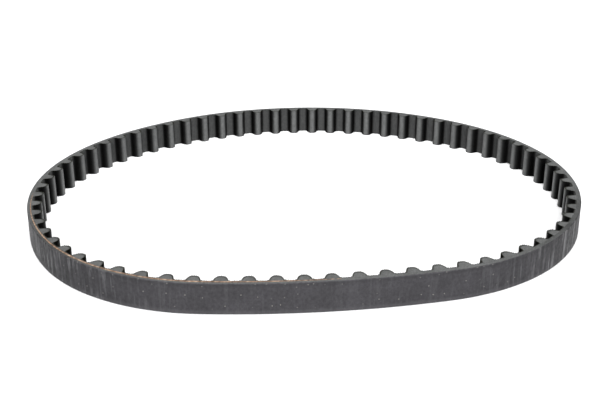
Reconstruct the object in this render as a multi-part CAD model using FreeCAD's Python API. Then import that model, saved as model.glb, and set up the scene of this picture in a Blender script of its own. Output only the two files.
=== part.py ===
"""Endless moulded timing belt with curvilinear teeth, standing on its cut edge as a free loop.

The belt is built in the four layers it is made of: a rubber backing, glass-fibre tension cords wound
side by side inside it, moulded rubber teeth, and a woven nylon facing over the toothed side. A rubber
belt bends everywhere. Here it bends at thirteen lands, the thin places between two teeth. Each span of
five or six teeth is one rigid body. Twelve of the lands are hinges, with upright axes on the pitch line.
The thirteenth is left open: the twelve hinges move together so that the loop stays closed there.

Frame: +Z up along the belt's width, X along the longer side of the loop, origin at the centre of the
loop on the plane it stands on. Lengths are in millimetres. "Station" is the distance along the pitch
line, counter-clockwise seen from above. "Offset" is the distance from the pitch line, outwards positive.
"""

import FreeCAD, Part
import os
from math import asin, ceil, cos, degrees, floor, pi, radians, sin, sqrt, tan

Vector = FreeCAD.Vector

# Belt section
PITCH = 8.0
TEETH = 69
WIDTH = 10.0
THICKNESS = 4.9
TOOTH_HEIGHT = 3.05
LAND_DEPTH = 0.686  # from the pitch line in to the surface of a land
FACING_THICKNESS = 0.25
LENGTH = PITCH * TEETH

# Tooth profile
TOOTH_WIDTH_AT_HALF_HEIGHT = 3.8
FLANK_ANGLE = radians(19.0)  # lean of the flank at half height
FLANK_RADIUS = 7.0
SHOULDER_RADIUS = 1.1
ROOT_RADIUS = 1.0

# Tension cords: one S-twist and one Z-twist cord, wound together as a two-start helix
CORD_DIAMETER = 0.7
CORD_SPACING = 1.05
CORD_TOP_STATION = 530.0  # where one cord runs out through the top cut edge
CORD_LEAST_SECTION = 0.15  # a thinner shaving of cord than this isn't left in a cut edge

# Plan of the loop at rest: six tangent arcs, each from its own heading to the next one's
ARC_NAMES = ("front", "front_right", "right", "back", "left", "front_left")
ARC_HEADINGS = [radians(a) for a in (-2.0, 14.5, 77.5, 143.5, 235.5, 305.0)]
FRONT_RADIUS = 255.0
SIDE_RADIUS = 78.0

# Spans: teeth in each rigid span, counter-clockwise from the one at the middle of the front
SPAN_TEETH = (6, 6, 5, 5, 5, 5, 6, 5, 5, 5, 5, 5, 6)
FIRST_LAND = 10.2  # station of the land where the first span starts
HINGE_SLIT = 0.1  # gap between two spans on the pitch line
RELIEF_ANGLE = radians(9.5)  # each end face leans back by this much, so that the hinge can close

# Lengths that only have to reach past something
CLEAR = 0.5  # a cutter stands this far out of the belt on every side
LAND_NUDGE = 0.5  # a land that a hinge cuts in half is drawn as an arc through a point this far in

BACK_OFFSET = THICKNESS - TOOTH_HEIGHT - LAND_DEPTH
LAND_OFFSET = -LAND_DEPTH
BED_OFFSET = LAND_OFFSET + FACING_THICKNESS  # the face where the backing meets teeth and facing


def solve_radii():
    """Radii of the six arcs. The front and sides are given; the two front corners and the back follow
    from three facts: the loop closes along X, it closes along Y, and its length is LENGTH."""
    ends = ARC_HEADINGS[1:] + [ARC_HEADINGS[0] + 2 * pi]
    columns = {}
    for name, start, end in zip(ARC_NAMES, ARC_HEADINGS, ends):
        columns[name] = Vector(sin(end) - sin(start), cos(start) - cos(end), end - start)
    radii = {"front": FRONT_RADIUS, "right": SIDE_RADIUS, "left": SIDE_RADIUS}
    rest = Vector(0, 0, LENGTH)
    for name, radius in radii.items():
        rest = rest - columns[name] * radius
    a, b, c = (columns[name] for name in ("front_right", "back", "front_left"))
    volume = a.dot(b.cross(c))
    radii["front_right"] = rest.dot(b.cross(c)) / volume
    radii["back"] = a.dot(rest.cross(c)) / volume
    radii["front_left"] = a.dot(b.cross(rest)) / volume
    return [radii[name] for name in ARC_NAMES]


class Plan:
    """The pitch line at rest."""

    def __init__(self):
        self.radii = solve_radii()
        ends = ARC_HEADINGS[1:] + [ARC_HEADINGS[0] + 2 * pi]
        self.stations = [0.0]
        self.starts = [Vector(0, 0, 0)]
        for radius, start, end in zip(self.radii, ARC_HEADINGS, ends):
            self.stations.append(self.stations[-1] + radius * (end - start))
            step = Vector(sin(end) - sin(start), cos(start) - cos(end), 0) * radius
            self.starts.append(self.starts[-1] + step)
        self.centre_on_origin()

    def centre_on_origin(self):
        """Moves the loop so that the middle of its box is the origin."""
        right, back, left, front = (self.at_heading(radians(a)) for a in (90, 180, 270, 0))
        middle = Vector((left.x + right.x) / 2, (front.y + back.y) / 2, 0)
        self.starts = [start - middle for start in self.starts]

    def at_heading(self, heading):
        """Point of the pitch line where it runs along this heading."""
        arc = max(i for i, start in enumerate(ARC_HEADINGS) if start <= heading)
        return self.point_on(arc, self.radii[arc] * (heading - ARC_HEADINGS[arc]))

    def locate(self, station):
        """Index of the arc that holds a station, and how far along the arc it lies."""
        station = station % LENGTH
        arc = max(i for i in range(len(self.radii)) if self.stations[i] <= station)
        return arc, station - self.stations[arc]

    def pieces(self, first, last):
        """The stretch between two stations as (arc, from, to), cut where one arc passes to the next."""
        found = []
        arc, along = self.locate(first)
        left = last - first
        while left > 0:
            arc_length = self.stations[arc + 1] - self.stations[arc]
            end = min(along + left, arc_length)
            found.append((arc, along, end))
            left -= end - along
            arc, along = (arc + 1) % len(self.radii), 0.0
        return found

    def heading(self, arc, along):
        return ARC_HEADINGS[arc] + along / self.radii[arc]

    def point_on(self, arc, along, offset=0.0):
        start, now = ARC_HEADINGS[arc], self.heading(arc, along)
        step = Vector(sin(now) - sin(start), cos(start) - cos(now), 0) * self.radii[arc]
        return self.starts[arc] + step + Vector(sin(now), -cos(now), 0) * offset

    def point(self, station, offset=0.0):
        return self.point_on(*self.locate(station), offset)

    def along(self, station):
        """Unit vector along the pitch line."""
        heading = self.heading(*self.locate(station))
        return Vector(cos(heading), sin(heading), 0)

    def outwards(self, station):
        """Unit vector square to the pitch line, out of the loop."""
        heading = self.heading(*self.locate(station))
        return Vector(sin(heading), -cos(heading), 0)

    def radius(self, station):
        return self.radii[self.locate(station)[0]]


PLAN = Plan()


def line(a, b):
    return Part.LineSegment(a, b).toShape()


def arc(a, middle, b):
    return Part.Arc(a, middle, b).toShape()


def offset_edges(first, last, offset):
    """Edges that run beside the pitch line at one offset."""
    edges = []
    for index, start, end in PLAN.pieces(first, last):
        points = [PLAN.point_on(index, along, offset) for along in (start, (start + end) / 2, end)]
        edges.append(arc(*points))
    return edges


def prism(edges):
    """Closed outline in the plane of the lower cut edge, raised over the belt's width."""
    wire = Part.Wire(Part.__sortEdges__(edges))
    return Part.Face(wire).extrude(Vector(0, 0, WIDTH))


def ring_sector(first, last, inner, outer):
    """Slab between two offsets from one station to another."""
    ends = [line(PLAN.point(s, inner), PLAN.point(s, outer)) for s in (first, last)]
    return prism(offset_edges(first, last, inner) + offset_edges(first, last, outer) + ends)


class ToothProfile:
    """One side of a tooth in its own frame: u along the belt from the tooth's middle, v inwards from the
    land. The flank is a large arc. A shoulder arc joins it to the flat tip, a root arc to the land.
    depth measures how far below the facing's surface the outline runs."""

    def __init__(self, depth):
        half_height = TOOTH_HEIGHT / 2
        lean_u, lean_v = cos(FLANK_ANGLE), sin(FLANK_ANGLE)
        flank_u = TOOTH_WIDTH_AT_HALF_HEIGHT / 2 - FLANK_RADIUS * lean_u
        flank_v = half_height - FLANK_RADIUS * lean_v
        shoulder_v = TOOTH_HEIGHT - SHOULDER_RADIUS
        reach = FLANK_RADIUS - SHOULDER_RADIUS
        shoulder_u = flank_u + sqrt(reach**2 - (shoulder_v - flank_v) ** 2)
        reach = FLANK_RADIUS + ROOT_RADIUS
        root_u = flank_u + sqrt(reach**2 - (ROOT_RADIUS - flank_v) ** 2)
        to_shoulder = asin((shoulder_v - flank_v) / (FLANK_RADIUS - SHOULDER_RADIUS))
        to_root = asin((ROOT_RADIUS - flank_v) / reach)
        flank = FLANK_RADIUS - depth
        shoulder = SHOULDER_RADIUS - depth
        root = ROOT_RADIUS + depth

        def around(u, v, radius, angle):
            return (u + radius * cos(angle), v + radius * sin(angle))

        self.tip = (shoulder_u, TOOTH_HEIGHT - depth)
        self.shoulder_mid = around(shoulder_u, shoulder_v, shoulder, (to_shoulder + pi / 2) / 2)
        self.shoulder_end = around(shoulder_u, shoulder_v, shoulder, to_shoulder)
        self.flank_mid = around(flank_u, flank_v, flank, (to_shoulder + to_root) / 2)
        self.flank_end = around(flank_u, flank_v, flank, to_root)
        self.root_mid = around(root_u, ROOT_RADIUS, -root, (to_root + pi / 2) / 2)
        self.root_end = (root_u, -depth)


def tooth_edges(station, depth):
    """Edges of one tooth's outline, and the two points where it runs out onto the lands."""
    profile = ToothProfile(depth)
    along = PLAN.along(station)
    outwards = PLAN.outwards(station)
    # the tooth sits lower by the rise of the curved land between its middle and its root
    rise = profile.root_end[0] ** 2 / (2 * PLAN.radius(station))
    origin = PLAN.point(station, LAND_OFFSET - rise)

    def place(point, side):
        return origin + along * (point[0] * side) - outwards * point[1]

    edges = [line(place(profile.tip, -1), place(profile.tip, 1))]
    for side in (-1, 1):
        for names in (
            ("tip", "shoulder_mid", "shoulder_end"),
            ("shoulder_end", "flank_mid", "flank_end"),
            ("flank_end", "root_mid", "root_end"),
        ):
            edges.append(arc(*(place(getattr(profile, name), side) for name in names)))
    return edges, place(profile.root_end, -1), place(profile.root_end, 1)


def tooth_stations(first, last):
    count = int(round((last - first) / PITCH))
    return [first + (i + 0.5) * PITCH for i in range(count)]


def make_facing_and_teeth(first, last):
    """Nylon facing and the rubber teeth under it, between two land middles. The moulded side is drawn
    once over the facing and once under it; the teeth are what lies inside the second outline."""
    start = PLAN.point(first, LAND_OFFSET)
    end = PLAN.point(last, LAND_OFFSET)
    edges = offset_edges(first, last, BED_OFFSET)
    edges.append(line(start, PLAN.point(first, BED_OFFSET)))
    edges.append(line(end, PLAN.point(last, BED_OFFSET)))
    before = start
    teeth = []
    for station in tooth_stations(first, last):
        outline, root_in, root_out = tooth_edges(station, 0.0)
        land_middle = station - PITCH / 2
        if station - PITCH < first:
            land_middle += LAND_NUDGE
        edges.append(arc(before, PLAN.point(land_middle, LAND_OFFSET), root_in))
        edges += outline
        before = root_out
        teeth.append(make_tooth(station))
    edges.append(arc(before, PLAN.point(last - LAND_NUDGE, LAND_OFFSET), end))
    facing = prism(edges)
    for tooth in teeth:
        facing = facing.cut(tooth)
    return facing, Part.makeCompound(teeth)


def make_tooth(station):
    """Rubber body of one tooth: the outline under the facing, closed by the backing's inner face. It is
    drawn a little too deep, and the backing's side is then cut away."""
    outline, root_in, root_out = tooth_edges(station, FACING_THICKNESS)
    outwards = PLAN.outwards(station)
    back_in = root_in + outwards * CLEAR
    back_out = root_out + outwards * CLEAR
    outline += [line(root_in, back_in), line(back_in, back_out), line(back_out, root_out)]
    reach = PITCH / 2
    beyond = ring_sector(station - reach, station + reach, BED_OFFSET, BED_OFFSET + THICKNESS)
    return prism(outline).cut(beyond)


def make_cords(first, last):
    """Cords that cross one span, lying side by side on the pitch line. The winding climbs by two cord
    spacings in one turn of the loop. Here it climbs from span to span, and each rod lies level."""
    climb = 2 * CORD_SPACING / LENGTH
    top = WIDTH + climb * ((first + last) / 2 - CORD_TOP_STATION)
    reach = CORD_DIAMETER / 2 - CORD_LEAST_SECTION
    lowest = ceil((-reach - top) / CORD_SPACING)
    highest = floor((WIDTH + reach - top) / CORD_SPACING)
    return [make_cord(first, last, top + turn * CORD_SPACING) for turn in range(lowest, highest + 1)]


def make_cord(first, last, height):
    """One rod: for each arc of the pitch line, its section swung about the arc's centre. A cord that the
    cut edge has opened lacks the part of its section that would stand out of the belt."""
    slab = Part.makeBox(LENGTH, LENGTH, WIDTH, Vector(-LENGTH / 2, -LENGTH / 2, 0))
    lift = Vector(0, 0, height)
    parts = []
    for index, start, end in PLAN.pieces(first, last):
        radius = PLAN.radii[index]
        heading = PLAN.heading(index, start)
        along = Vector(cos(heading), sin(heading), 0)
        circle = Part.Circle(PLAN.point_on(index, start) + lift, along, CORD_DIAMETER / 2)
        section = Part.Face(Part.Wire(circle.toShape())).common(slab).Faces[0]
        centre = PLAN.point_on(index, start, -radius) + lift
        parts.append(section.revolve(centre, Vector(0, 0, 1), degrees((end - start) / radius)))
    if len(parts) == 1:
        return parts[0]
    return parts[0].multiFuse(parts[1:]).removeSplitter()


def hinge_relief(station):
    """Slot between two spans: narrow on the pitch line, opening like a V to either side of it."""
    along = PLAN.along(station)
    inner, outer = LAND_OFFSET - CLEAR, BACK_OFFSET + CLEAR
    outline = []
    for offset, side in ((inner, -1), (0, -1), (outer, -1), (outer, 1), (0, 1), (inner, 1)):
        half = HINGE_SLIT / 2 + abs(offset) * tan(RELIEF_ANGLE)
        outline.append(PLAN.point(station, offset) + along * (half * side) - Vector(0, 0, CLEAR))
    outline.append(outline[0])
    return Part.Face(Part.makePolygon(outline)).extrude(Vector(0, 0, WIDTH + 2 * CLEAR))


def solids_only(shape):
    """The closed solids of a shape, as one solid or one group."""
    solids = shape.Solids
    return solids[0] if len(solids) == 1 else Part.makeCompound(solids)


def make_span(first, last):
    """The four layers between two land middles, with both ends cut back for the hinges."""
    cords = make_cords(first, last)
    backing = ring_sector(first, last, BED_OFFSET, BACK_OFFSET).cut(Part.makeCompound(cords))
    facing, teeth = make_facing_and_teeth(first, last)
    reliefs = Part.makeCompound([hinge_relief(first), hinge_relief(last)])
    return {
        "backing": solids_only(backing.cut(reliefs)),
        "cords": solids_only(Part.makeCompound([cord.cut(reliefs) for cord in cords])),
        "teeth": solids_only(teeth),
        "facing": solids_only(facing.cut(reliefs)),
    }


def main():
    os.makedirs("parts", exist_ok=True)
    for name, radius in zip(ARC_NAMES, PLAN.radii):
        print(f"arc {name}: radius {radius:.2f}")
    first = FIRST_LAND
    for number, count in enumerate(SPAN_TEETH, start=1):
        last = first + count * PITCH
        hinge = PLAN.point(last)
        print(f"span_{number:02d}: {count} teeth, ends at {hinge.x:.4f} {hinge.y:.4f}")
        for layer, shape in make_span(first, last).items():
            node = f"span_{number:02d}_{layer}"
            print(f"  {node}: {len(shape.Solids)} solids, {shape.Volume:.1f} mm3, valid {shape.isValid()}")
            shape.exportStep(f"parts/{node}.step")
        first = last


main()
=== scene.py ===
"""The look of the timing belt: a charcoal rubber belt with curved teeth, standing on its cut edge.

The belt is drawn as one continuous strip. It is cut into 14 segments at lands. Twelve of them each
cross one hinge of the CAD model and are left in place, not attached to a body. The first and last
meet at the opened land and ride on one span each. A segment has four pieces: the rubber backing, the
glass-fibre cords inside it, the rubber teeth, and the nylon facing over them.

Shapes are worked out in belt coordinates, in millimetres: station along the pitch line, offset outwards
from it, and height above the lower cut edge. belt_to_frame() turns them into metres in the row frame.
"""

import math

import bpy
import numpy as np
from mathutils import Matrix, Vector, noise


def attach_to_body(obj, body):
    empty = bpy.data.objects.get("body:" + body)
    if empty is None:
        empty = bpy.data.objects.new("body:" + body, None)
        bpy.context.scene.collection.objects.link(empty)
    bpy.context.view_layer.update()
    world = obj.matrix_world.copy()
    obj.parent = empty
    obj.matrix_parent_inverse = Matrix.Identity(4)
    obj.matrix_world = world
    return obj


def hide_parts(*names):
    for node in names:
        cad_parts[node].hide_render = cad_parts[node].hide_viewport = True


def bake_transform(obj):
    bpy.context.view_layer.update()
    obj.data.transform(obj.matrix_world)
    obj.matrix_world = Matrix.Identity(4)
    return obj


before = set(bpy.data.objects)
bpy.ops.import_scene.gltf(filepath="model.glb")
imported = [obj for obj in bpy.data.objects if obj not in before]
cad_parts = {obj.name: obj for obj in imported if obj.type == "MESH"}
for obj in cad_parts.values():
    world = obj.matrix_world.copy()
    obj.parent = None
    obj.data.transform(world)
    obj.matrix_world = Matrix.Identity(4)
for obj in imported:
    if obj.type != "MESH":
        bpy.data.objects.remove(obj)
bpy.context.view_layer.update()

MM = 0.001
TINY = 1e-6

# Belt section, as in the CAD model
PITCH = 8.0
TEETH = 69
WIDTH = 10.0
THICKNESS = 4.9
TOOTH_HEIGHT = 3.05
LAND_DEPTH = 0.686
FACING_THICKNESS = 0.25
LENGTH = PITCH * TEETH
BACK_OFFSET = THICKNESS - TOOTH_HEIGHT - LAND_DEPTH
LAND_OFFSET = -LAND_DEPTH
BED_OFFSET = LAND_OFFSET + FACING_THICKNESS

# Tooth profile, as in the CAD model
TOOTH_WIDTH_AT_HALF_HEIGHT = 3.8
FLANK_ANGLE = math.radians(19.0)
FLANK_RADIUS = 7.0
SHOULDER_RADIUS = 1.1
ROOT_RADIUS = 1.0

# Tension cords, as in the CAD model, but wound as a true helix
CORD_DIAMETER = 0.7
CORD_SPACING = 1.05
CORD_TOP_STATION = 530.0
CORD_CLIMB = 2 * CORD_SPACING / LENGTH
CORD_LEAST_SECTION = 0.05  # a thinner shaving of cord than this isn't drawn
CORD_BURIED = 0.09  # rubber this thick covers a winding that reaches a cut edge
CORD_PROUD = 0.07  # the opened cord stands out this far at the middle of the stretch that shows
CORD_PROUD_FALL = 0.1  # and this much less at CORD_SHOWN_HALF from there
CORD_SHOWN_MIDDLE = 523.0
CORD_SHOWN_HALF = 84.0
CORD_SHOWN_SHARE = 0.82  # of its width, since the knife has torn strands out of it
CORD_SIDES = 14

# Plan of the loop at rest, as in the CAD model: front, front right, right, back, left, front left
ARC_HEADINGS = np.radians([-2.0, 14.5, 77.5, 143.5, 235.5, 305.0])
ARC_ENDS = np.append(ARC_HEADINGS[1:], ARC_HEADINGS[0] + 2 * math.pi)
FRONT_RADIUS = 255.0
SIDE_RADIUS = 78.0

# Rigid spans of the CAD model: teeth in each, starting from the middle of the front
SPAN_TEETH = (6, 6, 5, 5, 5, 5, 6, 5, 5, 5, 5, 5, 6)
FIRST_LAND = 10.2
OPENED_AFTER = 5  # the loop of hinges is opened at the land after this span

# Surface texture that is real shape
COLUMN_STEP = 0.4  # along the belt
CUT_ROUGHNESS = 0.045  # height of the torn grain on the two cut edges
CUT_PROUD = 0.2  # the grain and the wave lift the upper cut edge by no more than this
BACK_WAVE = 0.03  # slow waviness of the ground back
EDGE_WAVE = 0.07  # slow waviness of the cut
EDGE_WAVE_SIZE = 22.0
CORNER_RADIUS = 0.16  # worn corner between the back and a cut edge
SHARP_ANGLE = math.radians(42)  # a sharper edge than this isn't shaded smooth
TIP_DOME = 0.3  # the tip of a tooth is this much lower at DOME_HALF from its middle
DOME_HALF = 1.5
RIBS_PER_PITCH = 16  # yarns of the facing that lie across the belt
RIB_DEPTH = 0.06
RIB_DEPTH_AT_CUT = 0.13  # this much more at a cut edge, which has freed the yarns
RIB_FREED = 0.7  # how far in from a cut edge the yarns are freed
RIB_LIMIT = 0.8 * FACING_THICKNESS
RIB_UNDER = 0.6  # share of the depth that shows on the rubber under the facing
RIB_UNDER_FADE = 0.6  # and it fades in over this distance from the lands
YARN_END = 0.19  # the cut yarns of the facing stand up this far
MOST_PROUD = 0.27  # nothing stands further than this above the upper cut edge

# Material slots of a piece: its own surface, and its cut edge
SURFACE, CUT = 0, 1

# How the pieces are divided into points
CORD_STEP = 2 * COLUMN_STEP
LAND_POINTS = 14
ROOT_POINTS = 12
FLANK_POINTS = 18
SHOULDER_POINTS = 12
TIP_POINTS = 8
CUT_STEPS = 16  # across the cut face of a tooth
TOOTH_FOOT = 0.02  # a tooth's outline stops this far short of the land, where its rubber ends
ROWS_NEAR_CUT = np.array([0.0, 0.15, 0.4, 0.8, 1.5, 3.0])  # of the facing, from each cut edge
BEHIND_FACING = np.array([0.5, 1.0, 1.0, 0.5])  # share of its thickness: over the rim, down, under

# Polish of the facing, lightest in the middle of a tip and of a land and falling off into painted
# shading towards the flanks: how far it reaches from the middle of a tip and of a land, and how strong
# it is
TIP_POLISH_AND_SHADE_HALF = 1.15
LAND_POLISH_AND_SHADE_HALF = 1.42
LAND_POLISH_AND_SHADE = 0.47
RIM_SOAK = 0.5  # the cut rubber is darker this close to the facing

# Scuffed, dusty stretches of the back: middle and half length
SCUFFED = ((496.0, 26.0), (128.0, 26.0))


# ---------------------------------------------------------------- plan of the loop


def solve_plan():
    """Radii of the six arcs, and station and place of each arc's start."""
    dx = np.sin(ARC_ENDS) - np.sin(ARC_HEADINGS)
    dy = np.cos(ARC_HEADINGS) - np.cos(ARC_ENDS)
    turn = ARC_ENDS - ARC_HEADINGS
    given = {0: FRONT_RADIUS, 2: SIDE_RADIUS, 4: SIDE_RADIUS}
    rest = np.array([0.0, 0.0, LENGTH])
    for i, radius in given.items():
        rest -= radius * np.array([dx[i], dy[i], turn[i]])
    unknown = [1, 3, 5]
    solved = np.linalg.solve(np.array([dx[unknown], dy[unknown], turn[unknown]]), rest)
    radii = np.zeros(len(turn))
    for i, radius in given.items():
        radii[i] = radius
    radii[unknown] = solved
    stations = np.concatenate([[0.0], np.cumsum(radii * turn)[:-1]])
    steps = np.column_stack([radii * dx, radii * dy])
    starts = np.vstack([np.zeros(2), np.cumsum(steps, axis=0)[:-1]])
    return radii, stations, starts


RADII, ARC_STATIONS, ARC_STARTS = solve_plan()


def arc_at(station):
    return np.searchsorted(ARC_STATIONS, np.mod(station, LENGTH), side="right") - 1


def heading_at(station):
    arc = arc_at(station)
    return ARC_HEADINGS[arc] + (np.mod(station, LENGTH) - ARC_STATIONS[arc]) / RADII[arc]


def radius_at(station):
    return RADII[arc_at(station)]


def plan_point(station):
    """Place of the pitch line, in millimetres, before the loop is centred."""
    arc = arc_at(station)
    start, now = ARC_HEADINGS[arc], heading_at(station)
    x = ARC_STARTS[arc, 0] + RADII[arc] * (np.sin(now) - np.sin(start))
    y = ARC_STARTS[arc, 1] + RADII[arc] * (np.cos(start) - np.cos(now))
    return np.stack([x, y], axis=-1)


def loop_middle():
    line = plan_point(np.arange(0.0, LENGTH, 0.01))
    return (line.min(axis=0) + line.max(axis=0)) / 2


LOOP_MIDDLE = loop_middle()


def belt_to_frame(belt):
    """Points in belt coordinates (station, offset, height) as metres in the row frame."""
    station, offset, height = belt[..., 0], belt[..., 1], belt[..., 2]
    heading = heading_at(station)
    place = plan_point(station) - LOOP_MIDDLE
    x = place[..., 0] + offset * np.sin(heading)
    y = place[..., 1] - offset * np.cos(heading)
    return np.stack([x, y, height], axis=-1) * MM


# ---------------------------------------------------------------- noise in belt coordinates


def as_ring(belt):
    """Belt coordinates bent onto a plain round ring, where a texture has no seam."""
    turn = belt[..., 0] * (2 * math.pi / LENGTH)
    radius = LENGTH / (2 * math.pi) + belt[..., 1]
    return np.stack([radius * np.cos(turn), radius * np.sin(turn), belt[..., 2]], axis=-1)


def grain(belt, size, seed):
    """Smooth noise from -1 to 1 with features of this size, in millimetres."""
    points = as_ring(belt).reshape(-1, 3) / size + seed
    values = np.array([noise.noise(Vector(p)) for p in points])
    return values.reshape(belt.shape[:-1])


def knife_wave(belt):
    """Slow wave of the knife, the same all through the thickness of the belt."""
    line = belt.copy()
    line[..., 1] = 0.0
    return EDGE_WAVE * grain(line, EDGE_WAVE_SIZE, seed=1.3)


def roughen_cuts(belt):
    """Moves the upper cut edge by the knife's wave and the torn grain, and the lower one by the grain,
    upwards only, so that the belt stays on the floor."""
    bottom = belt[..., 2] < TINY
    top = belt[..., 2] > WIDTH - TINY
    coarse, fine = grain(belt, 0.9, seed=3.1), grain(belt, 0.35, seed=7.7)
    torn = CUT_ROUGHNESS * (0.6 * coarse + 0.6 * fine)
    rough = belt.copy()
    rough[..., 2] += np.where(top, torn + knife_wave(belt), 0.0) + np.where(bottom, np.abs(torn), 0.0)
    limited = np.clip(rough[..., 2], 0.0, WIDTH + CUT_PROUD)
    rough[..., 2] = np.where(top | bottom, limited, rough[..., 2])
    return rough


# ---------------------------------------------------------------- meshes


def swept_faces(columns, ring, first=0):
    """Faces of a closed bar, both ends included. Its rings of points run counter-clockwise about the
    way along it."""
    faces = []
    for i in range(columns - 1):
        here = first + i * ring
        there = here + ring
        for j in range(ring):
            k = (j + 1) % ring
            faces.append((here + j, here + k, there + k, there + j))
    last = first + (columns - 1) * ring
    faces.append(tuple(range(first + ring - 1, first - 1, -1)))
    faces.append(tuple(range(last, last + ring)))
    return faces


def swept_materials(columns, ring_materials):
    """Material of each face that swept_faces() makes, given one for each stretch of the ring."""
    return list(ring_materials) * (columns - 1) + [SURFACE, SURFACE]


def make_piece(name, smooth, displaced, faces, face_materials, materials, marks=None):
    """Mesh object from belt coordinates. Its points are the displaced ones, and its textures follow the
    smooth ones. marks holds further values for the materials, one at each point."""
    mesh = bpy.data.meshes.new(name)
    points = belt_to_frame(displaced.reshape(-1, 3))
    mesh.from_pydata(points.tolist(), [], faces)
    for material in materials:
        mesh.materials.append(material)
    mesh.polygons.foreach_set("material_index", np.array(face_materials, np.int32))
    flat = smooth.reshape(-1, 3)
    store(mesh, "belt", "FLOAT_VECTOR", "vector", flat)
    store(mesh, "ring", "FLOAT_VECTOR", "vector", as_ring(flat))
    store(mesh, "scuffed", "FLOAT", "value", scuffed(flat))
    for mark, values in (marks or {}).items():
        store(mesh, mark, "FLOAT", "value", values)
    mesh.shade_smooth()
    mesh.set_sharp_from_angle(angle=SHARP_ANGLE)
    mesh.update()
    piece = bpy.data.objects.new(name, mesh)
    bpy.context.scene.collection.objects.link(piece)
    return piece


def store(mesh, name, kind, field, values):
    attribute = mesh.attributes.new(name, kind, "POINT")
    attribute.data.foreach_set(field, np.asarray(values, np.float32).ravel())


def scuffed(belt):
    """How scuffed the belt is at each point, from 0 to 1."""
    amount = np.zeros(len(belt))
    for middle, half in SCUFFED:
        away = np.abs((belt[:, 0] - middle + LENGTH / 2) % LENGTH - LENGTH / 2)
        amount = np.maximum(amount, np.exp(-((away / half) ** 2)))
    return amount


def columns_between(first, last, step):
    return np.linspace(first, last, max(2, int(round((last - first) / step)) + 1))


# ---------------------------------------------------------------- rubber backing


def backing_ring():
    """Closed outline of the backing's section as (offset, height), and the material of each stretch."""
    cut_steps = 9
    back_steps = 22
    corner_steps = 4
    corner = BACK_OFFSET - CORNER_RADIUS
    swing = np.linspace(0.0, math.pi / 2, corner_steps + 1)
    top = [(offset, WIDTH) for offset in np.linspace(BED_OFFSET, corner, cut_steps + 1)]
    upper = [
        (corner + CORNER_RADIUS * math.sin(a), WIDTH - CORNER_RADIUS * (1 - math.cos(a)))
        for a in swing[1:]
    ]
    heights = np.linspace(WIDTH - CORNER_RADIUS, CORNER_RADIUS, back_steps + 1)
    back = [(BACK_OFFSET, height) for height in heights[1:]]
    lower = [
        (corner + CORNER_RADIUS * math.cos(a), CORNER_RADIUS * (1 - math.sin(a))) for a in swing[1:]
    ]
    bottom = [(offset, 0.0) for offset in np.linspace(corner, BED_OFFSET, cut_steps + 1)[1:]]
    points = top + upper + back + lower + bottom
    outside_steps = corner_steps + back_steps + corner_steps
    kinds = [CUT] * cut_steps + [SURFACE] * outside_steps + [CUT] * cut_steps + [SURFACE]
    return np.array(points), kinds


def make_backing(name, first, last, materials):
    section, kinds = backing_ring()
    stations = columns_between(first, last, COLUMN_STEP)
    smooth = np.zeros((len(stations), len(section), 3))
    smooth[..., 0] = stations[:, None]
    smooth[..., 1] = section[None, :, 0]
    smooth[..., 2] = section[None, :, 1]
    rough = roughen_cuts(smooth)
    on_back = (smooth[..., 2] > TINY) & (smooth[..., 2] < WIDTH - TINY)
    wave = BACK_WAVE * grain(smooth, 6.0, seed=5.5) - 0.5 * BACK_WAVE
    rough[..., 1] += np.where(on_back, wave, 0.0)
    top_edge = on_back & (smooth[..., 2] > WIDTH - CORNER_RADIUS - TINY)
    nick = CUT_ROUGHNESS * grain(smooth, 0.6, seed=9.2)
    raised = smooth.copy()
    raised[..., 2] = WIDTH
    rough[..., 2] += np.where(top_edge, knife_wave(raised) + nick, 0.0)
    faces = swept_faces(len(stations), len(section))
    kinds = swept_materials(len(stations), kinds)
    marks = {"grimy": scuffed(smooth.reshape(-1, 3))}
    return make_piece(name, smooth, rough, faces, kinds, materials, marks)


# ---------------------------------------------------------------- teeth and facing


def swing_points(u, v, radius, start, end, count):
    """Points of an arc without its last one."""
    angles = np.linspace(start, end, count + 1)[:-1]
    return np.column_stack([u + radius * np.cos(angles), v + radius * np.sin(angles)])


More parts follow.
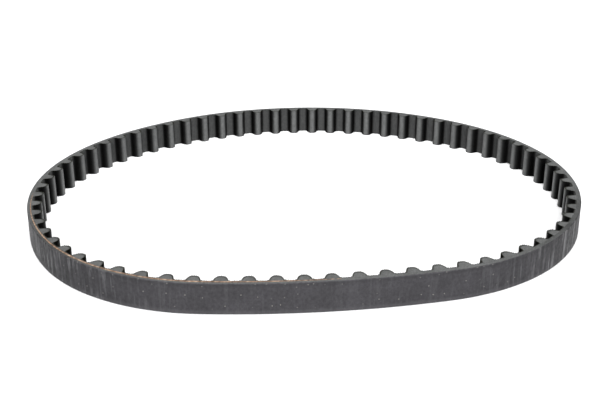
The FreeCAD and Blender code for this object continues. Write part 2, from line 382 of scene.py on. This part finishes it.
def tooth_template(depth):
    """Moulded side over one pitch, at this depth below the facing's surface, from land middle to land
    middle: u along the belt, v inwards from the land. Same formulas as the CAD model's ToothProfile,
    with a domed tip."""
    half = TOOTH_HEIGHT / 2
    flank_u = TOOTH_WIDTH_AT_HALF_HEIGHT / 2 - FLANK_RADIUS * math.cos(FLANK_ANGLE)
    flank_v = half - FLANK_RADIUS * math.sin(FLANK_ANGLE)
    shoulder_v = TOOTH_HEIGHT - SHOULDER_RADIUS
    inner = FLANK_RADIUS - SHOULDER_RADIUS
    outer = FLANK_RADIUS + ROOT_RADIUS
    shoulder_u = flank_u + math.sqrt(inner**2 - (shoulder_v - flank_v) ** 2)
    root_u = flank_u + math.sqrt(outer**2 - (ROOT_RADIUS - flank_v) ** 2)
    to_shoulder = math.asin((shoulder_v - flank_v) / inner)
    to_root = math.asin((ROOT_RADIUS - flank_v) / outer)
    quarter = math.pi / 2
    land_u = np.linspace(PITCH / 2, root_u, LAND_POINTS)[:-1]
    tip_u = np.linspace(shoulder_u, 0.0, TIP_POINTS)
    land = np.column_stack([land_u, np.full(len(land_u), -depth)])
    root_radius = -(ROOT_RADIUS + depth)
    root = swing_points(root_u, ROOT_RADIUS, root_radius, quarter, to_root, ROOT_POINTS)
    flank_radius = FLANK_RADIUS - depth
    flank = swing_points(flank_u, flank_v, flank_radius, to_root, to_shoulder, FLANK_POINTS)
    edge_radius = SHOULDER_RADIUS - depth
    shoulder = swing_points(
        shoulder_u, shoulder_v, edge_radius, to_shoulder, quarter, SHOULDER_POINTS
    )
    tip = np.column_stack([tip_u, np.full(len(tip_u), TOOTH_HEIGHT - depth)])
    side = np.vstack([land, root, flank, shoulder, tip])
    upper_half = np.clip((side[:, 1] - half) / half, 0.0, 1.0)
    side[:, 1] -= TIP_DOME * (side[:, 0] / DOME_HALF) ** 2 * upper_half
    mirrored = side[:-1] * [-1, 1]
    return np.vstack([mirrored, side[::-1]]), root_u


def moulded_profile(depth, teeth):
    """(station, offset) of the moulded side over these teeth, at this depth below its surface."""
    template, root_u = tooth_template(depth)
    u, v = template[:, 0], template[:, 1]
    offset = LAND_OFFSET - v
    found = []
    for number, middle in enumerate(teeth):
        radius = radius_at(middle)
        station = u * radius / (radius + offset)
        root = root_u * radius / (radius + LAND_OFFSET + depth)
        on_land = np.abs(u) > root_u
        share = (np.abs(u) - root_u) / (PITCH / 2 - root_u)
        station = np.where(on_land, np.sign(u) * (root + share * (PITCH / 2 - root)), station)
        points = np.column_stack([middle + station, offset])
        found.append(points if number == 0 else points[1:])
    return np.vstack(found)


def rib_phase(teeth):
    """Number of yarns passed at each point of moulded_profile(); whole at every land middle."""
    template, _ = tooth_template(0.0)
    steps = np.hypot(*np.diff(template, axis=0).T)
    share = np.concatenate([[0.0], np.cumsum(steps)]) / steps.sum()
    one_pitch = share * RIBS_PER_PITCH
    return np.concatenate([one_pitch] + [one_pitch[1:]] * (len(teeth) - 1))


def teeth_between(first, last):
    count = int(round((last - first) / PITCH))
    return [first + (i + 0.5) * PITCH for i in range(count)]


def polish_and_shade_of(surface, first):
    """How much the mould and the pulleys have polished the facing at each point of its profile: fully
    on the tips, partly on the lands, not at all on the flanks. The bell-shaped fall-off from the middle
    of each tip and land is painted shading, darker towards the flanks."""
    from_tip = (surface[:, 0] - first) % PITCH - PITCH / 2
    from_land = PITCH / 2 - np.abs(from_tip)
    on_tip = np.exp(-(np.abs(from_tip / TIP_POLISH_AND_SHADE_HALF) ** 3))
    on_land = LAND_POLISH_AND_SHADE * np.exp(-((from_land / LAND_POLISH_AND_SHADE_HALF) ** 6))
    inwards = LAND_OFFSET - surface[:, 1] > TOOTH_HEIGHT / 2
    return np.where(inwards, on_tip, on_land)


def rib_sink(belt, phase):
    """How far the facing sinks between its yarns, which lie across the belt."""
    valley = 0.5 * (1 - np.cos(2 * math.pi * phase))[:, None]
    to_cut = np.minimum(belt[..., 2], WIDTH - belt[..., 2])
    depth = RIB_DEPTH + RIB_DEPTH_AT_CUT * np.exp(-to_cut / RIB_FREED)
    profile = belt[:, :1, :]
    uneven = 1 + 0.5 * grain(profile, 1.3, seed=2.2)
    return np.minimum(valley * depth * uneven, RIB_LIMIT)


def yarn_ends(belt, phase):
    """How far the cut ends of the yarns stand up from the upper cut edge."""
    crest = 0.5 * (1 + np.cos(2 * math.pi * phase))[:, None]
    profile = belt[:, :1, :]
    uneven = np.clip(0.75 + 0.7 * grain(profile, 0.9, seed=6.6), 0.0, 1.1)
    return YARN_END * crest * uneven


def under_share(under):
    """Share of the yarns' relief on the rubber under the facing: none on the lands."""
    depth = BED_OFFSET - under[:, 1]
    return RIB_UNDER * np.clip(depth / RIB_UNDER_FADE, 0.0, 1.0)


def facing_section(surface, under, heights):
    """Ring of the facing at every point of its profile: up the moulded side, over the upper rim, down
    behind, under the lower rim."""
    count = len(surface)
    ring = [np.column_stack([surface, np.full(count, height)]) for height in heights]
    for share, height in zip(BEHIND_FACING, (WIDTH, WIDTH, 0.0, 0.0)):
        inner = surface + share * (under - surface)
        ring.append(np.column_stack([inner, np.full(count, height)]))
    return np.stack(ring, axis=1)


def make_facing(name, first, last, materials):
    teeth = teeth_between(first, last)
    surface = moulded_profile(0.0, teeth)
    under = moulded_profile(FACING_THICKNESS, teeth)
    phase = rib_phase(teeth)
    heights = np.concatenate([ROWS_NEAR_CUT, [WIDTH / 2], WIDTH - ROWS_NEAR_CUT[::-1]])
    smooth = facing_section(surface, under, heights)
    kinds = [SURFACE] * (len(heights) - 1) + [CUT, CUT, SURFACE, CUT, CUT]
    rough = roughen_cuts(smooth)
    away = surface - under
    away /= np.linalg.norm(away, axis=1)[:, None]
    # Polish of the facing, with painted shading that falls off from the middle of each tip and land
    polish_and_shade = np.repeat(polish_and_shade_of(surface, first)[:, None], smooth.shape[1], axis=1)
    behind = np.concatenate([np.zeros(len(heights)), BEHIND_FACING])[None, :]
    share = 1 - behind * (1 - under_share(under))[:, None]
    sunk = share * rib_sink(smooth, phase)
    rough[..., :2] -= sunk[..., None] * away[:, None, :]
    on_top = smooth[..., 2] > WIDTH - TINY
    rough[..., 2] += np.where(on_top, yarn_ends(smooth, phase), 0.0)
    rough[..., 2] = np.minimum(rough[..., 2], WIDTH + MOST_PROUD)
    columns = len(surface)
    faces = swept_faces(columns, smooth.shape[1])
    kinds = swept_materials(columns, kinds)
    return make_piece(name, smooth, rough, faces, kinds, materials, {"polish_and_shade": polish_and_shade})


def tooth_section(outline):
    """Ring of a tooth's rubber at every point of its outline: over the upper cut edge to the bed, and
    back under the lower one. Also each ring point's share of the way to the bed, and its length."""
    bed = outline.copy()
    bed[:, 1] = BED_OFFSET
    across = np.linspace(0.0, 1.0, CUT_STEPS + 1)
    back = across[::-1][:-1]
    shares = np.concatenate([[0.0], across, back])
    heights = [0.0] + [WIDTH] * len(across) + [0.0] * len(back)
    ring = [
        np.column_stack([outline + share * (bed - outline), np.full(len(outline), height)])
        for share, height in zip(shares, heights)
    ]
    return np.stack(ring, axis=1), shares, np.abs(outline - bed)[:, 1:]


def make_teeth(name, first, last, materials):
    template, root_u = tooth_template(FACING_THICKNESS)
    inside = np.abs(template[:, 0]) < root_u - TOOTH_FOOT
    smooth_parts, rough_parts, soaked, faces, kinds = [], [], [], [], []
    start = 0
    for middle in teeth_between(first, last):
        outline = moulded_profile(FACING_THICKNESS, [middle])[inside]
        away = moulded_profile(0.0, [middle])[inside] - outline
        away /= np.linalg.norm(away, axis=1)[:, None]
        smooth, shares, to_bed = tooth_section(outline)
        from_facing = shares[None, :] * to_bed
        soaked.append(np.exp(-((from_facing / RIM_SOAK) ** 2)).ravel())
        sunk = rib_sink(smooth, rib_phase([middle])[inside]) * under_share(outline)[:, None]
        sunk = sunk * (1 - shares)[None, :]
        rough = roughen_cuts(smooth)
        rough[..., :2] -= sunk[..., None] * away[:, None, :]
        smooth_parts.append(smooth.reshape(-1, 3))
        rough_parts.append(rough.reshape(-1, 3))
        faces += swept_faces(len(outline), smooth.shape[1], start)
        kinds += swept_materials(len(outline), [SURFACE] * smooth.shape[1])
        start += smooth.shape[0] * smooth.shape[1]
    smooth, rough = np.vstack(smooth_parts), np.vstack(rough_parts)
    marks = {"soaked": np.concatenate(soaked)}
    return make_piece(name, smooth, rough, faces, kinds, materials, marks)


# ---------------------------------------------------------------- tension cords


def cord_height(station, turn):
    return WIDTH + CORD_CLIMB * (station - CORD_TOP_STATION) + turn * CORD_SPACING


def proud_of_cut(stations, shown):
    """How far a winding that reaches a cut edge stands out of it. Below zero, rubber covers it."""
    if not shown:
        return np.full(len(stations), -CORD_BURIED)
    away = np.abs(stations - CORD_SHOWN_MIDDLE) / CORD_SHOWN_HALF
    return np.clip(CORD_PROUD - CORD_PROUD_FALL * away**2, -CORD_BURIED, CORD_PROUD)


def make_cords(name, first, last, materials):
    """Every winding that crosses this segment. One that reaches a cut edge is cut flat there."""
    least_gap = math.pi / CORD_SIDES
    smooth_parts, faces, kinds = [], [], []
    start = 0
    mid_station = (first + last) / 2
    spare = 4  # windings above and below the width, more than the helix climbs in one turn
    for turn in range(-int(WIDTH / CORD_SPACING) - spare, spare):
        stations = columns_between(first, last, CORD_STEP)
        height = cord_height(stations, turn)
        upper = cord_height(mid_station, turn) > WIDTH / 2
        shown = turn == 0 and abs(mid_station - CORD_TOP_STATION) < LENGTH / 4
        radius = CORD_DIAMETER / 2 * (CORD_SHOWN_SHARE if shown else 1.0)
        room = (WIDTH - height if upper else height) + proud_of_cut(stations, shown)
        keep = room > CORD_LEAST_SECTION - radius
        if keep.sum() < 2:
            continue
        stations, height, room = stations[keep], height[keep], room[keep]
        gap = np.maximum(least_gap, np.arccos(np.clip(room / radius, -1, 1)))
        share = np.linspace(0.0, 1.0, CORD_SIDES)
        swing = gap[:, None] + share[None, :] * (2 * math.pi - 2 * gap[:, None])
        side = 1 if upper else -1
        smooth = np.zeros((len(stations), CORD_SIDES, 3))
        smooth[..., 0] = stations[:, None]
        smooth[..., 1] = side * radius * np.sin(swing)
        smooth[..., 2] = height[:, None] + side * radius * np.cos(swing)
        smooth_parts.append(smooth.reshape(-1, 3))
        faces += swept_faces(len(stations), CORD_SIDES, start)
        kinds += swept_materials(len(stations), [SURFACE] * CORD_SIDES)
        start += len(stations) * CORD_SIDES
    points = np.vstack(smooth_parts)
    return make_piece(name, points, points, faces, kinds, materials)


# ---------------------------------------------------------------- materials


class Nodes:
    """Short ways to add shader nodes to one material."""

    def __init__(self, name):
        self.material = bpy.data.materials.new(name)
        self.material.use_nodes = True
        self.tree = self.material.node_tree
        self.shader = self.tree.nodes["Principled BSDF"]

    def add(self, kind, **settings):
        node = self.tree.nodes.new(kind)
        for key, value in settings.items():
            setattr(node, key, value)
        return node

    def link(self, out, into):
        self.tree.links.new(out, into)

    def attribute(self, name):
        return self.add("ShaderNodeAttribute", attribute_name=name)

    def scaled(self, source, scale):
        """The source vector with each axis multiplied."""
        mapping = self.add("ShaderNodeMapping")
        mapping.inputs["Scale"].default_value = scale
        self.link(source, mapping.inputs["Vector"])
        return mapping.outputs["Vector"]

    def noise(self, source, scale, detail=4.0, roughness=0.6):
        """Noise of this many features to a millimetre."""
        node = self.add("ShaderNodeTexNoise")
        node.inputs["Scale"].default_value = scale
        node.inputs["Detail"].default_value = detail
        node.inputs["Roughness"].default_value = roughness
        self.link(source, node.inputs["Vector"])
        return node.outputs["Fac"]

    def ramp(self, value, stops):
        """Colour or brightness against a value; a stop is (position, brightness or colour)."""
        node = self.add("ShaderNodeValToRGB")
        elements = node.color_ramp.elements
        while len(elements) < len(stops):
            elements.new(0.5)
        for element, (position, colour) in zip(elements, stops):
            element.position = position
            if isinstance(colour, (int, float)):
                colour = (colour, colour, colour)
            element.color = (*colour, 1.0)
        self.link(value, node.inputs["Fac"])
        return node.outputs["Color"]

    def math(self, operation, a, b):
        node = self.add("ShaderNodeMath", operation=operation)
        for socket, value in zip(node.inputs, (a, b)):
            if isinstance(value, (int, float)):
                socket.default_value = value
            else:
                self.link(value, socket)
        return node.outputs["Value"]

    def specks(self, density, radius, rarity):
        """Mask of small uneven spots, one in some of the cells of a scattered pattern."""
        parts = self.add("ShaderNodeSeparateXYZ")
        self.link(self.attribute("belt").outputs["Vector"], parts.inputs["Vector"])
        flat = self.add("ShaderNodeCombineXYZ")
        self.link(parts.outputs["X"], flat.inputs["X"])
        self.link(parts.outputs["Z"], flat.inputs["Y"])
        cells = self.add("ShaderNodeTexVoronoi", voronoi_dimensions="2D", feature="F1")
        cells.inputs["Scale"].default_value = density
        self.link(flat.outputs["Vector"], cells.inputs["Vector"])
        uneven = self.math("MULTIPLY", self.noise(flat.outputs["Vector"], 4.0, 3.0), radius)
        distance = self.math("ADD", cells.outputs["Distance"], uneven)
        near = self.ramp(distance, [(radius * 0.6, 1.0), (radius * 1.1, 0.0)])
        some = self.ramp(cells.outputs["Color"], [(rarity, 0.0), (rarity + 0.25, 1.0)])
        return self.math("MULTIPLY", near, some)

    def mix(self, factor, a, b, blend="MIX"):
        node = self.add("ShaderNodeMix", data_type="RGBA", blend_type=blend)
        first, second = [s for s in node.inputs if s.type == "RGBA"]
        for socket, value in ((node.inputs[0], factor), (first, a), (second, b)):
            if isinstance(value, (int, float)):
                socket.default_value = value
            elif isinstance(value, tuple):
                socket.default_value = (*value, 1.0)
            else:
                self.link(value, socket)
        return [s for s in node.outputs if s.type == "RGBA"][0]

    def bump(self, height, strength, distance, normal=None):
        node = self.add("ShaderNodeBump")
        node.inputs["Strength"].default_value = strength
        node.inputs["Distance"].default_value = distance
        self.link(height, node.inputs["Height"])
        if normal is not None:
            self.link(normal, node.inputs["Normal"])
        return node.outputs["Normal"]

    def finish(self, colour, normal, roughness, specular):
        """Connects the shader. Specular is None where the material has linked its own."""
        self.link(colour, self.shader.inputs["Base Color"])
        self.link(normal, self.shader.inputs["Normal"])
        if isinstance(roughness, (int, float)):
            self.shader.inputs["Roughness"].default_value = roughness
        else:
            self.link(roughness, self.shader.inputs["Roughness"])
        if specular is not None:
            self.shader.inputs["Specular IOR Level"].default_value = specular
        return self.material


# Dust on the scuffed back, and also the colour of the painted floor bounce light near the lower edge
DUST_AND_BOUNCE_LIGHT = (0.15, 0.15, 0.155)
LINT = (0.24, 0.23, 0.21)
FRAYED_RUBBER = (0.14, 0.14, 0.15)
SOAKED_RUBBER = (0.012, 0.013, 0.009)


def scuffed_rubber(n, ring):
    """Charcoal with fine mottling. Where it is scuffed, streaks run across the belt, dark and dusty."""
    worn = n.attribute("scuffed").outputs["Fac"]
    charcoal = [(0.3, (0.021, 0.0200, 0.0230)), (0.7, (0.035, 0.0335, 0.0375))]
    mottle = n.ramp(n.noise(ring, 1.1), charcoal)
    clouds = n.ramp(n.noise(ring, 0.12, 2.0), [(0.35, 0.88), (0.65, 1.12)])
    base = n.mix(1.0, mottle, clouds, "MULTIPLY")
    across = n.noise(n.scaled(ring, (1.0, 1.0, 0.06)), 0.75, 5.0, 0.66)
    streaks = n.ramp(across, [(0.50, 0.0), (0.59, 1.0)])
    dark = n.ramp(across, [(0.42, 0.26), (0.54, 0.80)])
    patches = n.noise(n.scaled(ring, (1.0, 1.0, 0.4)), 0.22, 4.0, 0.6)
    patchy = n.ramp(patches, [(0.44, 0.05), (0.56, 1.0)])
    reach = n.math("ADD", n.math("MULTIPLY", worn, 0.66), 0.06)
    dust = n.math("MULTIPLY", n.math("MULTIPLY", streaks, patchy), reach)
    shaded = n.mix(n.math("MULTIPLY", worn, 0.9), base, n.mix(1.0, base, dark, "MULTIPLY"))
    return n.mix(dust, shaded, DUST_AND_BOUNCE_LIGHT)


def edged_rubber(n, ring, colour):
    """Adds what follows the height: a band of painted shade under the upper edge, a lighter strip near
    the floor that is painted bounce light from the floor in the colour of dust, and rubber frayed from
    the upper edge itself."""
    height = n.add("ShaderNodeSeparateXYZ")
    n.link(n.attribute("belt").outputs["Vector"], height.inputs["Vector"])
    level = n.math("MULTIPLY", height.outputs["Z"], 1 / WIDTH)
    # Painted shade: a darker band just under the upper edge
    painted_edge_shade = n.ramp(level, [(0.84, 1.0), (0.92, 0.82), (0.955, 0.82), (0.975, 1.0)])
    banded = n.mix(1.0, colour, painted_edge_shade, "MULTIPLY")
    # Painted light: lighter towards the floor, standing in for light bounced off the floor
    painted_floor_bounce = n.mix(n.ramp(level, [(0.02, 0.17), (0.16, 0.0)]), banded, DUST_AND_BOUNCE_LIGHT)
    worn_off = n.ramp(n.noise(ring, 1.3), [(0.42, 0.0), (0.62, 0.25)])
    edge = n.math("MULTIPLY", n.ramp(level, [(0.97, 0.0), (0.992, 1.0)]), worn_off)
    unscuffed = n.ramp(n.attribute("scuffed").outputs["Fac"], [(0.0, 1.0), (1.0, 0.2)])
    return n.mix(n.math("MULTIPLY", edge, unscuffed), painted_floor_bounce, FRAYED_RUBBER)


def backing_rubber():
    """Ground back of the belt: matt charcoal, scuffed in two stretches, with specks of lint."""
    n = Nodes("backing_rubber")
    ring = n.attribute("ring").outputs["Vector"]
    speckled = n.mix(n.specks(0.3, 0.092, 0.50), scuffed_rubber(n, ring), LINT)
    colour = edged_rubber(n, ring, speckled)
    fine = n.noise(ring, 5.0, 6.0, 0.7)
    scratches = n.noise(n.scaled(ring, (1.0, 1.0, 0.04)), 3.0, 3.0)
    normal = n.bump(scratches, 0.25, 0.00008, n.bump(fine, 0.5, 0.00012))
    roughness = n.ramp(n.noise(ring, 0.8, 3.0), [(0.3, 0.55), (0.7, 0.72)])
    return n.finish(colour, normal, roughness, 0.25)


def cut_rubber():
    """Cut edge of the rubber, torn by the slitting knife: paler grey and rough. It is dark beside the
    facing, and grimy where the back is scuffed."""
    n = Nodes("cut_rubber")
    ring = n.attribute("ring").outputs["Vector"]
    soaked = n.attribute("soaked").outputs["Fac"]
    greys = [(0.3, (0.050, 0.051, 0.051)), (0.7, (0.150, 0.153, 0.151))]
    base = n.ramp(n.noise(ring, 2.4, 5.0, 0.7), greys)
    clouds = n.ramp(n.noise(ring, 0.25, 3.0), [(0.35, 0.85), (0.65, 1.2)])
    grimy = n.ramp(n.attribute("grimy").outputs["Fac"], [(0.0, 1.0), (1.0, 0.55)])
    torn = n.mix(1.0, n.mix(1.0, base, clouds, "MULTIPLY"), grimy, "MULTIPLY")
    colour = n.mix(n.math("MULTIPLY", soaked, 0.85), torn, SOAKED_RUBBER)
    normal = n.bump(n.noise(ring, 6.0, 6.0, 0.75), 0.8, 0.0002)
    return n.finish(colour, normal, 0.82, 0.2)


def facing_rim():
    """Cut edge of the nylon facing: darker and slightly olive."""
    n = Nodes("facing_rim")
    ring = n.attribute("ring").outputs["Vector"]
    olives = [(0.3, (0.005, 0.006, 0.003)), (0.7, (0.026, 0.027, 0.018))]
    colour = n.ramp(n.noise(ring, 2.0, 4.0, 0.7), olives)
    normal = n.bump(n.noise(ring, 7.0, 4.0, 0.7), 0.8, 0.0002)
    return n.finish(colour, normal, 0.8, 0.15)


def facing_nylon():
    """Woven facing of the moulded side: black yarns, polished grey on the lands and on the tips. The
    grey fades towards the flanks as painted shading, and the flanks' near-black is partly painted shade
    in the gaps between the teeth.
    """
    n = Nodes("facing_nylon")
    ring = n.attribute("ring").outputs["Vector"]
    polish_and_shade = n.attribute("polish_and_shade").outputs["Fac"]
    # Near-black of the flanks: unpolished nylon, made darker still as painted shade of the deep gaps
    # between the teeth
    unpolished_and_shaded = n.ramp(n.noise(ring, 1.6, 4.0), [(0.3, 0.0015), (0.7, 0.004)])
    greys = [(0.3, (0.064, 0.066, 0.066)), (0.7, (0.102, 0.105, 0.104))]
    polished = n.ramp(n.noise(ring, 1.1, 4.0), greys)
    patchy = n.ramp(n.noise(ring, 0.5, 3.0), [(0.3, 0.75), (0.7, 1.0)])
    # The polish mask mixes in the grey and also paints shading that falls off towards the flanks
    colour = n.mix(n.math("MULTIPLY", polish_and_shade, patchy), unpolished_and_shaded, polished)
    yarn = n.add("ShaderNodeTexWave", bands_direction="Z")
    yarn.inputs["Scale"].default_value = 0.9
    yarn.inputs["Distortion"].default_value = 0.6
    yarn.inputs["Detail Scale"].default_value = 2.0
    n.link(ring, yarn.inputs["Vector"])
    woven = n.mix(1.0, colour, n.ramp(yarn.outputs["Fac"], [(0.0, 0.78), (1.0, 1.15)]), "MULTIPLY")
    fine = n.noise(ring, 7.0, 4.0, 0.6)
    normal = n.bump(yarn.outputs["Fac"], 0.35, 0.00006, n.bump(fine, 0.4, 0.0001))
    n.link(n.math("MULTIPLY", polish_and_shade, 0.5), n.shader.inputs["Specular IOR Level"])
    return n.finish(woven, normal, 0.45, None)


def cord_glass():
    """Treated glass fibre, orange brown, twisted from strands and frayed where the knife opened it."""
    n = Nodes("cord_glass")
    ring = n.attribute("ring").outputs["Vector"]
    belt = n.attribute("belt").outputs["Vector"]
    fibres = n.noise(n.scaled(ring, (1.0, 1.0, 3.0)), 0.9, 6.0, 0.75)
    browns = [(0.36, (0.075, 0.042, 0.024)), (0.50, (0.27, 0.165, 0.105)), (0.66, (0.60, 0.48, 0.37))]
    colour = n.ramp(fibres, browns)
    patchy = n.ramp(n.noise(ring, 0.3, 3.0), [(0.38, 0.7), (0.62, 1.25)])
    colour = n.mix(1.0, colour, patchy, "MULTIPLY")
    twist = n.add("ShaderNodeTexWave", bands_direction="DIAGONAL")
    twist.inputs["Scale"].default_value = 0.7
    n.link(belt, twist.inputs["Vector"])
    strands = n.mix(1.0, colour, n.ramp(twist.outputs["Fac"], [(0.0, 0.6), (1.0, 1.1)]), "MULTIPLY")
    normal = n.bump(twist.outputs["Fac"], 0.7, 0.0001, n.bump(fibres, 0.5, 0.0001))
    return n.finish(strands, normal, 0.6, 0.3)


# ---------------------------------------------------------------- the whole belt


def span_lands():
    """Stations of the lands where the spans begin, and of the last one's end."""
    return FIRST_LAND + PITCH * np.concatenate([[0], np.cumsum(SPAN_TEETH)])


def seam_in_span(index, lands):
    """Land nearest the middle of a span, where two segments meet."""
    return lands[index] + PITCH * (SPAN_TEETH[index] // 2)


def segments():
    """First station, last station and bodies of every segment, counter-clockwise from the opened
    land."""
    lands = span_lands()
    count = len(SPAN_TEETH)
    order = [(OPENED_AFTER + i) % count for i in range(count)]
    wrap = 0.0
    seams = []
    for position, index in enumerate(order):
        if position and index == 0:
            wrap = LENGTH
        seams.append((seam_in_span(index, lands) + wrap, f"span_{index + 1:02d}"))
    opened = lands[OPENED_AFTER]
    found = [(opened, seams[0][0], (seams[0][1],))]
    for (first, body), (last, next_body) in zip(seams, seams[1:]):
        found.append((first, last, (body, next_body)))
    found.append((seams[-1][0], opened + LENGTH, (seams[-1][1],)))
    return found


def attach(piece, layer, bodies):
    """Hides the CAD nodes of the same layer of the bodies that a piece crosses, and ties the piece to
    its body if it crosses only one; one that crosses two is left where it is.
    """
    if len(bodies) == 1:
        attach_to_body(piece, bodies[0])
    else:
        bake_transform(piece)
    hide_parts(*(f"{body}_{layer}" for body in bodies))


def make_belt():
    rubber, cut = backing_rubber(), cut_rubber()
    nylon, rim = facing_nylon(), facing_rim()
    glass = cord_glass()
    layers = (
        ("backing", "backing_rubber", make_backing, (rubber, cut)),
        ("cords", "tension_cord", make_cords, (glass,)),
        ("teeth", "tooth_rubber", make_teeth, (cut,)),
        ("facing", "nylon_facing", make_facing, (nylon, rim)),
    )
    for number, (first, last, bodies) in enumerate(segments(), start=1):
        for layer, slot, make, materials in layers:
            piece = make(f"segment_{number:02d}_{layer}", first, last, materials)
            attach(piece, layer, bodies)


# ---------------------------------------------------------------- stage, light and camera


FLOOR_HALF = 3.0  # of its side, in metres
FLOOR_COLOUR = (0.93, 0.93, 0.935, 1.0)
WORLD_STRENGTH = 0.16
MIDDLE_OF_FLOOR = (0.0, 0.0, 0.0)
# name, place, size in metres, power in watts
LAMPS = (
    ("overhead", (0.0, 0.0, 1.5), 0.6, 20.0),
    ("front_key", (0.15, -1.58, 0.88), 0.8, 43.5),
)


def make_floor():
    half = FLOOR_HALF
    mesh = bpy.data.meshes.new("floor")
    corners = [(-half, -half, 0.0), (half, -half, 0.0), (half, half, 0.0), (-half, half, 0.0)]
    mesh.from_pydata(corners, [], [(0, 1, 2, 3)])
    paper = bpy.data.materials.new("white_paper")
    paper.use_nodes = True
    shader = paper.node_tree.nodes["Principled BSDF"]
    shader.inputs["Base Color"].default_value = FLOOR_COLOUR
    shader.inputs["Roughness"].default_value = 0.9
    shader.inputs["Specular IOR Level"].default_value = 0.1
    mesh.materials.append(paper)
    floor = bpy.data.objects.new("floor", mesh)
    bpy.context.scene.collection.objects.link(floor)


def make_light(name, place, size, power):
    """Round lamp that faces the middle of the floor."""
    lamp = bpy.data.lights.new(name, "AREA")
    lamp.shape = "DISK"
    lamp.size = size
    lamp.energy = power
    light = bpy.data.objects.new(name, lamp)
    light.location = place
    way = Vector(MIDDLE_OF_FLOOR) - Vector(place)
    light.rotation_euler = way.to_track_quat("-Z", "Y").to_euler()
    bpy.context.scene.collection.objects.link(light)


def light_studio():
    world = bpy.data.worlds.new("studio")
    world.use_nodes = True
    background = world.node_tree.nodes["Background"]
    background.inputs["Color"].default_value = (1.0, 1.0, 1.0, 1.0)
    background.inputs["Strength"].default_value = WORLD_STRENGTH
    bpy.context.scene.world = world
    for lamp in LAMPS:
        make_light(*lamp)
    bpy.context.scene.view_settings.view_transform = "Standard"


CAMERA_PLACE = (-0.00189, -0.33195, 0.1433)
CAMERA_TILT = math.radians(23.18)  # below the horizon
CAMERA_PAN = math.radians(0.0285)  # to the left
CAMERA_LENS = 60.24


def make_camera():
    camera = bpy.data.cameras.new("camera")
    camera.lens = CAMERA_LENS
    camera.sensor_width = 36.0
    camera.clip_start = 0.01
    camera.clip_end = 20.0
    holder = bpy.data.objects.new("camera", camera)
    holder.location = CAMERA_PLACE
    holder.rotation_euler = (math.pi / 2 - CAMERA_TILT, 0.0, CAMERA_PAN)
    bpy.context.scene.collection.objects.link(holder)
    bpy.context.scene.camera = holder


make_belt()
make_floor()
light_studio()
make_camera()
